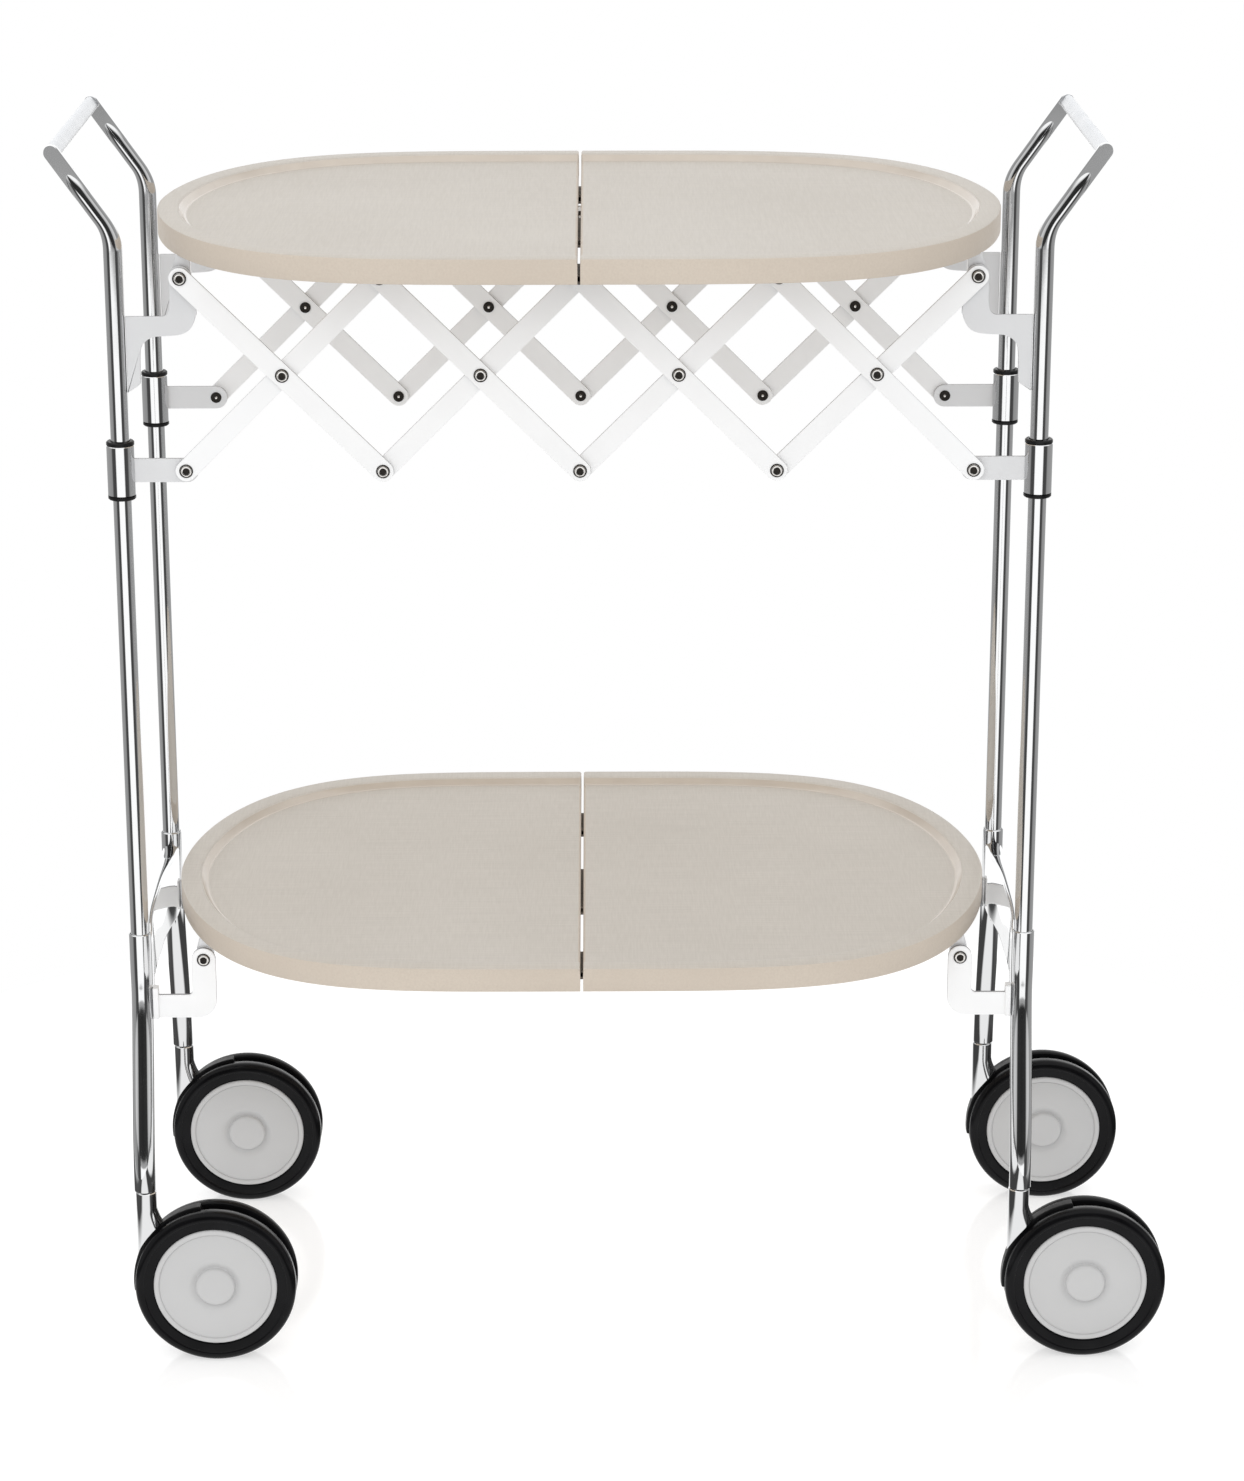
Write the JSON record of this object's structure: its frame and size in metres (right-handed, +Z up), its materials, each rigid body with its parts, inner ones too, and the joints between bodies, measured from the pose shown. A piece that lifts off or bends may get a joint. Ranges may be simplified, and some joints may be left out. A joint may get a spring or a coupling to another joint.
{
  "type": "folding serving trolley",
  "caption": "Folding serving trolley with oval trays hinged across the middle, scissor lattices, tubular side frames with handles and twin-wheel swivel casters.",
  "frame": {"origin": "on the floor under the middle of the whole outline, which is 29.8 mm towards +X of the trays' slot because all the casters trail towards +X", "axes": "+X along the trolley's length, towards the side that the casters trail to; +Y from the front to the back; +Z up"},
  "size_m": [0.7454, 0.418, 0.8385],
  "materials": {
    "chrome": "polished chrome plate",
    "satin_plate": "satin silver-white",
    "pale_bar": "satin light grey",
    "beige_tray": "fine satin beige",
    "black_plastic": "satin black",
    "wheel": "black tyre round a light grey disc"
  },
  "bodies": {
    "left_frame": {"handle_bar_left": "pale_bar", "leg_casting_left": "chrome", "front_tube_left": "chrome", "front_upper_bracket_left": "satin_plate", "front_lower_bracket_left": "satin_plate", "rear_tube_left": "chrome", "rear_upper_bracket_left": "satin_plate", "rear_lower_bracket_left": "satin_plate"},
    "left_sleeves": {"front_sleeve_left": "chrome", "front_bush_left": "black_plastic", "rear_sleeve_left": "chrome", "rear_bush_left": "black_plastic"},
    "upper_tray_half_left": {"upper_tray_left": "beige_tray"},
    "lower_tray_half_left": {"lower_tray_left": "beige_tray"},
    "front_left_caster": {"front_left_fork": "chrome", "front_left_hood": "black_plastic"},
    "front_left_spinning_wheel_a": {"front_left_wheel_a": "wheel"},
    "front_left_spinning_wheel_b": {"front_left_wheel_b": "wheel"},
    "rear_left_caster": {"rear_left_fork": "chrome", "rear_left_hood": "black_plastic"},
    "rear_left_spinning_wheel_a": {"rear_left_wheel_a": "wheel"},
    "rear_left_spinning_wheel_b": {"rear_left_wheel_b": "wheel"},
    "right_frame": {"handle_bar_right": "pale_bar", "leg_casting_right": "chrome", "front_tube_right": "chrome", "front_upper_bracket_right": "satin_plate", "front_lower_bracket_right": "satin_plate", "rear_tube_right": "chrome", "rear_upper_bracket_right": "satin_plate", "rear_lower_bracket_right": "satin_plate"},
    "right_sleeves": {"front_sleeve_right": "chrome", "front_bush_right": "black_plastic", "rear_sleeve_right": "chrome", "rear_bush_right": "black_plastic"},
    "upper_tray_half_right": {"upper_tray_right": "beige_tray"},
    "lower_tray_half_right": {"lower_tray_right": "beige_tray"},
    "front_right_caster": {"front_right_fork": "chrome", "front_right_hood": "black_plastic"},
    "front_right_spinning_wheel_a": {"front_right_wheel_a": "wheel"},
    "front_right_spinning_wheel_b": {"front_right_wheel_b": "wheel"},
    "rear_right_caster": {"rear_right_fork": "chrome", "rear_right_hood": "black_plastic"},
    "rear_right_spinning_wheel_a": {"rear_right_wheel_a": "wheel"},
    "rear_right_spinning_wheel_b": {"rear_right_wheel_b": "wheel"},
    "lattice_1_falling": {"front_link_1_falling": "satin_plate", "rear_link_1_falling": "satin_plate"},
    "lattice_1_rising": {"front_link_1_rising": "satin_plate", "rear_link_1_rising": "satin_plate"},
    "lattice_2_falling": {"front_link_2_falling": "satin_plate", "rear_link_2_falling": "satin_plate"},
    "lattice_2_rising": {"front_link_2_rising": "satin_plate", "rear_link_2_rising": "satin_plate"},
    "lattice_3_falling": {"front_link_3_falling": "satin_plate", "rear_link_3_falling": "satin_plate"},
    "lattice_3_rising": {"front_link_3_rising": "satin_plate", "rear_link_3_rising": "satin_plate"},
    "lattice_4_falling": {"front_link_4_falling": "satin_plate", "rear_link_4_falling": "satin_plate"},
    "lattice_4_rising": {"front_link_4_rising": "satin_plate", "rear_link_4_rising": "satin_plate"}
  },
  "joints": [
    {"name": "fold", "type": "hinge", "parent": "left_frame", "child": "upper_tray_half_left", "pos_m": [-0.28782, 0, 0.753], "axis": [0, -1, 0], "range_deg": [0, 81.52]},
    {"name": "upper_tray_hinge", "type": "hinge", "parent": "upper_tray_half_left", "child": "upper_tray_half_right", "pos_m": [-0.02982, 0, 0.762], "axis": [0, -1, 0], "range_deg": [-163.14, 0]},
    {"name": "right_frame_pivot", "type": "hinge", "parent": "upper_tray_half_right", "child": "right_frame", "pos_m": [0.22818, 0, 0.753], "axis": [0, -1, 0], "range_deg": [0, 81.62]},
    {"name": "lower_tray_left_pivot", "type": "hinge", "parent": "left_frame", "child": "lower_tray_half_left", "pos_m": [-0.28782, 0, 0.2826], "axis": [0, -1, 0], "range_deg": [0, 81.62]},
    {"name": "lower_tray_right_pivot", "type": "hinge", "parent": "right_frame", "child": "lower_tray_half_right", "pos_m": [0.22818, 0, 0.2826], "axis": [0, -1, 0], "range_deg": [-81.62, 0]},
    {"name": "lattice_1_falling_pivot", "type": "hinge", "parent": "left_frame", "child": "lattice_1_falling", "pos_m": [-0.28782, 0, 0.753], "axis": [0, -1, 0], "range_deg": [-40.72, 0]},
    {"name": "lattice_1_rising_pivot", "type": "hinge", "parent": "lattice_1_falling", "child": "lattice_1_rising", "pos_m": [-0.22332, 0, 0.689], "axis": [0, -1, 0], "range_deg": [0, 81.34]},
    {"name": "lattice_2_falling_pivot", "type": "hinge", "parent": "lattice_1_rising", "child": "lattice_2_falling", "pos_m": [-0.15882, 0, 0.753], "axis": [0, -1, 0], "range_deg": [-81.34, 0]},
    {"name": "lattice_2_rising_pivot", "type": "hinge", "parent": "lattice_2_falling", "child": "lattice_2_rising", "pos_m": [-0.09432, 0, 0.689], "axis": [0, -1, 0], "range_deg": [0, 81.34]},
    {"name": "lattice_4_rising_pivot", "type": "hinge", "parent": "right_frame", "child": "lattice_4_rising", "pos_m": [0.22818, 0, 0.753], "axis": [0, -1, 0], "range_deg": [0, 40.72]},
    {"name": "lattice_4_falling_pivot", "type": "hinge", "parent": "lattice_4_rising", "child": "lattice_4_falling", "pos_m": [0.16368, 0, 0.689], "axis": [0, -1, 0], "range_deg": [-81.34, 0]},
    {"name": "lattice_3_rising_pivot", "type": "hinge", "parent": "lattice_4_falling", "child": "lattice_3_rising", "pos_m": [0.09918, 0, 0.753], "axis": [0, -1, 0], "range_deg": [0, 81.34]},
    {"name": "lattice_3_falling_pivot", "type": "hinge", "parent": "lattice_3_rising", "child": "lattice_3_falling", "pos_m": [0.03468, 0, 0.689], "axis": [0, -1, 0], "range_deg": [-81.34, 0]},
    {"name": "left_sleeve_slide", "type": "slide", "parent": "left_frame", "child": "left_sleeves", "axis": [0, 0, -1], "range_m": [0, 0.0534]},
    {"name": "right_sleeve_slide", "type": "slide", "parent": "right_frame", "child": "right_sleeves", "axis": [0, 0, -1], "range_m": [0, 0.0534]},
    {"name": "front_left_swivel", "type": "hinge", "parent": "left_frame", "child": "front_left_caster", "pos_m": [-0.33022, -0.134, 0.1225], "axis": [0, 0, 1], "continuous": true},
    {"name": "front_left_wheel_a_spin", "type": "hinge", "parent": "front_left_caster", "child": "front_left_spinning_wheel_a", "pos_m": [-0.28362, -0.134, 0.0555], "axis": [0, 1, 0], "continuous": true},
    {"name": "front_left_wheel_b_spin", "type": "hinge", "parent": "front_left_caster", "child": "front_left_spinning_wheel_b", "pos_m": [-0.28362, -0.134, 0.0555], "axis": [0, 1, 0], "continuous": true},
    {"name": "rear_left_swivel", "type": "hinge", "parent": "left_frame", "child": "rear_left_caster", "pos_m": [-0.33022, 0.134, 0.1225], "axis": [0, 0, 1], "continuous": true},
    {"name": "rear_left_wheel_a_spin", "type": "hinge", "parent": "rear_left_caster", "child": "rear_left_spinning_wheel_a", "pos_m": [-0.28362, 0.134, 0.0555], "axis": [0, 1, 0], "continuous": true},
    {"name": "rear_left_wheel_b_spin", "type": "hinge", "parent": "rear_left_caster", "child": "rear_left_spinning_wheel_b", "pos_m": [-0.28362, 0.134, 0.0555], "axis": [0, 1, 0], "continuous": true},
    {"name": "front_right_swivel", "type": "hinge", "parent": "right_frame", "child": "front_right_caster", "pos_m": [0.27058, -0.134, 0.1225], "axis": [0, 0, 1], "continuous": true},
    {"name": "front_right_wheel_a_spin", "type": "hinge", "parent": "front_right_caster", "child": "front_right_spinning_wheel_a", "pos_m": [0.31718, -0.134, 0.0555], "axis": [0, 1, 0], "continuous": true},
    {"name": "front_right_wheel_b_spin", "type": "hinge", "parent": "front_right_caster", "child": "front_right_spinning_wheel_b", "pos_m": [0.31718, -0.134, 0.0555], "axis": [0, 1, 0], "continuous": true},
    {"name": "rear_right_swivel", "type": "hinge", "parent": "right_frame", "child": "rear_right_caster", "pos_m": [0.27058, 0.134, 0.1225], "axis": [0, 0, 1], "continuous": true},
    {"name": "rear_right_wheel_a_spin", "type": "hinge", "parent": "rear_right_caster", "child": "rear_right_spinning_wheel_a", "pos_m": [0.31718, 0.134, 0.0555], "axis": [0, 1, 0], "continuous": true},
    {"name": "rear_right_wheel_b_spin", "type": "hinge", "parent": "rear_right_caster", "child": "rear_right_spinning_wheel_b", "pos_m": [0.31718, 0.134, 0.0555], "axis": [0, 1, 0], "continuous": true}
  ],
  "couplings": [
    {"joint": "upper_tray_hinge", "follows": "fold", "ratio": -2},
    {"joint": "right_frame_pivot", "follows": "fold", "ratio": 1},
    {"joint": "lower_tray_left_pivot", "follows": "fold", "ratio": 1},
    {"joint": "lower_tray_right_pivot", "follows": "fold", "ratio": -1},
    {"joint": "lattice_1_falling_pivot", "follows": "fold", "ratio": -0.4983},
    {"joint": "lattice_1_rising_pivot", "follows": "fold", "ratio": 0.9966},
    {"joint": "lattice_2_falling_pivot", "follows": "fold", "ratio": -0.9966},
    {"joint": "lattice_2_rising_pivot", "follows": "fold", "ratio": 0.9966},
    {"joint": "lattice_4_rising_pivot", "follows": "fold", "ratio": 0.4983},
    {"joint": "lattice_4_falling_pivot", "follows": "fold", "ratio": -0.9966},
    {"joint": "lattice_3_rising_pivot", "follows": "fold", "ratio": 0.9966},
    {"joint": "lattice_3_falling_pivot", "follows": "fold", "ratio": -0.9966},
    {"joint": "left_sleeve_slide", "follows": "fold", "m_per_rad": 0.03735},
    {"joint": "right_sleeve_slide", "follows": "fold", "m_per_rad": 0.03735}
  ]
}
